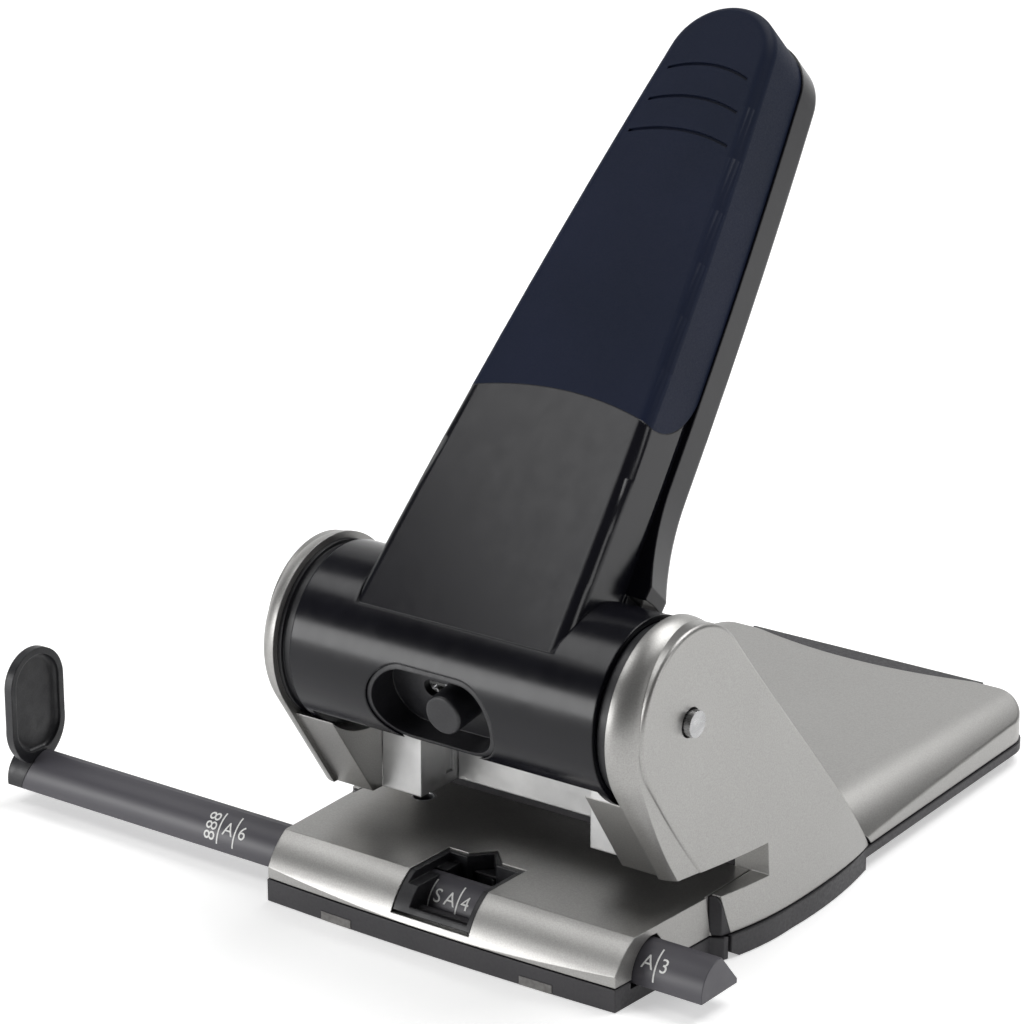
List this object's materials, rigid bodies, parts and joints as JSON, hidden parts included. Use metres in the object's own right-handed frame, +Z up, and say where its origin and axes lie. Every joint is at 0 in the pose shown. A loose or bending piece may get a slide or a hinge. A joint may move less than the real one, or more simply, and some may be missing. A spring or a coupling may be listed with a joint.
{
  "type": "hole punch",
  "caption": "Heavy-duty two-hole paper punch with a tall rear-leaning lever, barrel hub with lock slide, silver side cheeks, sliding paper guide bar and chip tray.",
  "frame": {"origin": "on the table plane, on the punch's centre plane, straight below the lever's pivot axis", "axes": "+Z up from the table, +X to the right along the barrel and the guide bar, +Y from the paper's side to the rear platform"},
  "size_m": [0.2325, 0.2107, 0.2223],
  "materials": {
    "silver_paint": "satin metallic",
    "grey_plastic": "fine texture",
    "die_cast": "as cast",
    "plated_steel": "zinc plated",
    "steel": "ground",
    "spring_steel": "oiled",
    "brass_bush": "turned",
    "black_gloss": "gloss",
    "soft_grip": "soft touch",
    "black_plastic": "satin",
    "charcoal_bar": "satin",
    "rubber": "matte"
  },
  "bodies": {
    "base": {"chassis_plate": "plated_steel", "chassis_screws": "plated_steel", "cheek_left": "silver_paint", "cheek_right": "silver_paint", "detent_spring": "spring_steel", "die_plate": "plated_steel", "frame_posts": "plated_steel", "front_cover": "silver_paint", "front_feet": "rubber", "front_pan": "grey_plastic", "guide_bridge": "die_cast", "guide_channel": "grey_plastic", "mechanism_cover": "silver_paint", "paper_stop": "grey_plastic", "pivot_shaft": "steel", "punch_guide_left": "die_cast", "punch_guide_right": "die_cast", "rear_cover": "silver_paint", "return_spring_left": "spring_steel", "return_spring_right": "spring_steel", "side_strips": "grey_plastic", "spacer_rings": "grey_plastic", "window_bezel": "black_plastic"},
    "handle": {"handle_shell": "black_gloss", "handle_back": "black_gloss", "soft_grip": "soft_grip", "lever_core": "plated_steel", "barrel_shell": "black_gloss", "recess_insert": "black_gloss", "cam_plate_left": "die_cast", "cam_plate_right": "die_cast", "cam_bridge": "plated_steel", "hub_bushes": "brass_bush"},
    "punch_left": {"punch_pin_left": "steel", "spring_cap_left": "black_plastic"},
    "punch_right": {"punch_pin_right": "steel", "spring_cap_right": "black_plastic"},
    "lock": {"lock_knob": "black_plastic", "lock_bolt": "plated_steel"},
    "guide": {"guide_bar": "charcoal_bar", "stop_tab": "black_plastic"},
    "tray": {"chip_tray": "grey_plastic", "rear_feet": "rubber", "tray_hinge_pins": "plated_steel"}
  },
  "joints": [
    {"name": "handle_hinge", "type": "hinge", "parent": "base", "child": "handle", "pos_m": [0, 0, 0.07], "axis": [1, 0, 0], "range_deg": [-38, 0], "stiffness_Nm_per_rad": 1.2, "springref_deg": 28.65},
    {"name": "punch_left_slide", "type": "slide", "parent": "base", "child": "punch_left", "axis": [0, 0, 1], "range_m": [-0.0136, 0], "deforming": ["return_spring_left"]},
    {"name": "punch_right_slide", "type": "slide", "parent": "base", "child": "punch_right", "axis": [0, 0, 1], "range_m": [-0.0136, 0], "deforming": ["return_spring_right"]},
    {"name": "lock_slide", "type": "slide", "parent": "handle", "child": "lock", "axis": [1, 0, 0], "range_m": [-0.009, 0.006]},
    {"name": "guide_slide", "type": "slide", "parent": "base", "child": "guide", "axis": [1, 0, 0], "range_m": [-0.0615, 0.08]},
    {"name": "tray_hinge", "type": "hinge", "parent": "base", "child": "tray", "pos_m": [0, 0.0176, 0.0026], "axis": [1, 0, 0], "range_deg": [-25, 0]}
  ],
  "couplings": [
    {"joint": "punch_left_slide", "follows": "handle_hinge", "m_per_rad": 0.0201},
    {"joint": "punch_right_slide", "follows": "handle_hinge", "m_per_rad": 0.0201}
  ]
}
